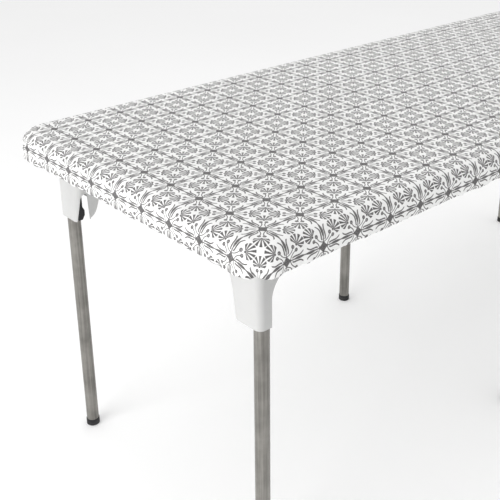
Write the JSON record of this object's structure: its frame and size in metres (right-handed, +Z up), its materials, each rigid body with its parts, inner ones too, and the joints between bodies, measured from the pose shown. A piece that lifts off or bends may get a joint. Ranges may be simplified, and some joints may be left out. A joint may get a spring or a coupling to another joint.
{
  "type": "tablecloth on a folding table",
  "caption": "Fitted printed tablecloth with an elastic hem, pulled over the moulded top of a folding table with round steel legs.",
  "frame": {"origin": "on the floor, under the middle of the tabletop", "axes": "+X along the table's length, +Y across its width towards the back long edge, +Z up"},
  "size_m": [1.8318, 0.7648, 0.7384],
  "materials": {
    "printed_cloth": "satin coated cloth printed with a warm grey ornament",
    "elastic": "ribbed elastic band",
    "moulded_top": "fine pebbled blow-moulded plastic",
    "bracket_plastic": "satin moulded plastic",
    "latch_plastic": "satin black plastic",
    "leg_steel": "satin coated tube",
    "cap_rubber": "matt black",
    "rail_steel": "grey powder coat",
    "pin_steel": "zinc plated",
    "spring_steel": "bright wire",
    "screw_steel": "zinc plated"
  },
  "bodies": {
    "table": {"tabletop": "moulded_top", "rail_front": "rail_steel", "rail_back": "rail_steel", "bracket_left_front": "bracket_plastic", "bracket_left_back": "bracket_plastic", "bracket_right_front": "bracket_plastic", "bracket_right_back": "bracket_plastic", "bracket_middle_front": "bracket_plastic", "bracket_middle_back": "bracket_plastic", "leg_pivot_pins": "pin_steel", "latch_pins": "pin_steel", "latch_springs": "spring_steel", "mounting_screws": "screw_steel", "tablecloth": "printed_cloth", "hem_elastic": "elastic"},
    "leg_left_front": {"leg_tube_left_front": "leg_steel", "foot_cap_left_front": "cap_rubber"},
    "latch_left_front": {"latch_lever_left_front": "latch_plastic"},
    "leg_left_back": {"leg_tube_left_back": "leg_steel", "foot_cap_left_back": "cap_rubber"},
    "latch_left_back": {"latch_lever_left_back": "latch_plastic"},
    "leg_right_front": {"leg_tube_right_front": "leg_steel", "foot_cap_right_front": "cap_rubber"},
    "latch_right_front": {"latch_lever_right_front": "latch_plastic"},
    "leg_right_back": {"leg_tube_right_back": "leg_steel", "foot_cap_right_back": "cap_rubber"},
    "latch_right_back": {"latch_lever_right_back": "latch_plastic"},
    "leg_middle_front": {"leg_tube_middle_front": "leg_steel", "foot_cap_middle_front": "cap_rubber"},
    "latch_middle_front": {"latch_lever_middle_front": "latch_plastic"},
    "leg_middle_back": {"leg_tube_middle_back": "leg_steel", "foot_cap_middle_back": "cap_rubber"},
    "latch_middle_back": {"latch_lever_middle_back": "latch_plastic"}
  },
  "joints": [
    {"name": "fold_left_front", "type": "hinge", "parent": "table", "child": "leg_left_front", "pos_m": [-0.8325, -0.303, 0.661], "axis": [0, -1, 0], "range_deg": [0, 90]},
    {"name": "fold_left_back", "type": "hinge", "parent": "table", "child": "leg_left_back", "pos_m": [-0.8325, 0.303, 0.661], "axis": [0, -1, 0], "range_deg": [0, 90]},
    {"name": "fold_right_front", "type": "hinge", "parent": "table", "child": "leg_right_front", "pos_m": [0.8325, -0.303, 0.661], "axis": [0, 1, 0], "range_deg": [0, 90]},
    {"name": "fold_right_back", "type": "hinge", "parent": "table", "child": "leg_right_back", "pos_m": [0.8325, 0.303, 0.661], "axis": [0, 1, 0], "range_deg": [0, 90]},
    {"name": "fold_middle_front", "type": "hinge", "parent": "table", "child": "leg_middle_front", "pos_m": [-0.03, -0.303, 0.661], "axis": [1, 0, 0], "range_deg": [0, 90]},
    {"name": "fold_middle_back", "type": "hinge", "parent": "table", "child": "leg_middle_back", "pos_m": [0.03, 0.303, 0.661], "axis": [-1, 0, 0], "range_deg": [0, 90]},
    {"name": "latch_left_front", "type": "hinge", "parent": "table", "child": "latch_left_front", "pos_m": [-0.8325, -0.271, 0.606], "axis": [1, 0, 0], "range_deg": [0, 15], "stiffness_Nm_per_rad": 0.05, "springref_deg": -11.46},
    {"name": "latch_left_back", "type": "hinge", "parent": "table", "child": "latch_left_back", "pos_m": [-0.8325, 0.271, 0.606], "axis": [-1, 0, 0], "range_deg": [0, 15], "stiffness_Nm_per_rad": 0.05, "springref_deg": -11.46},
    {"name": "latch_right_front", "type": "hinge", "parent": "table", "child": "latch_right_front", "pos_m": [0.8325, -0.271, 0.606], "axis": [1, 0, 0], "range_deg": [0, 15], "stiffness_Nm_per_rad": 0.05, "springref_deg": -11.46},
    {"name": "latch_right_back", "type": "hinge", "parent": "table", "child": "latch_right_back", "pos_m": [0.8325, 0.271, 0.606], "axis": [-1, 0, 0], "range_deg": [0, 15], "stiffness_Nm_per_rad": 0.05, "springref_deg": -11.46},
    {"name": "latch_middle_front", "type": "hinge", "parent": "table", "child": "latch_middle_front", "pos_m": [-0.062, -0.303, 0.606], "axis": [0, 1, 0], "range_deg": [0, 15], "stiffness_Nm_per_rad": 0.05, "springref_deg": -11.46},
    {"name": "latch_middle_back", "type": "hinge", "parent": "table", "child": "latch_middle_back", "pos_m": [0.062, 0.303, 0.606], "axis": [0, -1, 0], "range_deg": [0, 15], "stiffness_Nm_per_rad": 0.05, "springref_deg": -11.46}
  ]
}
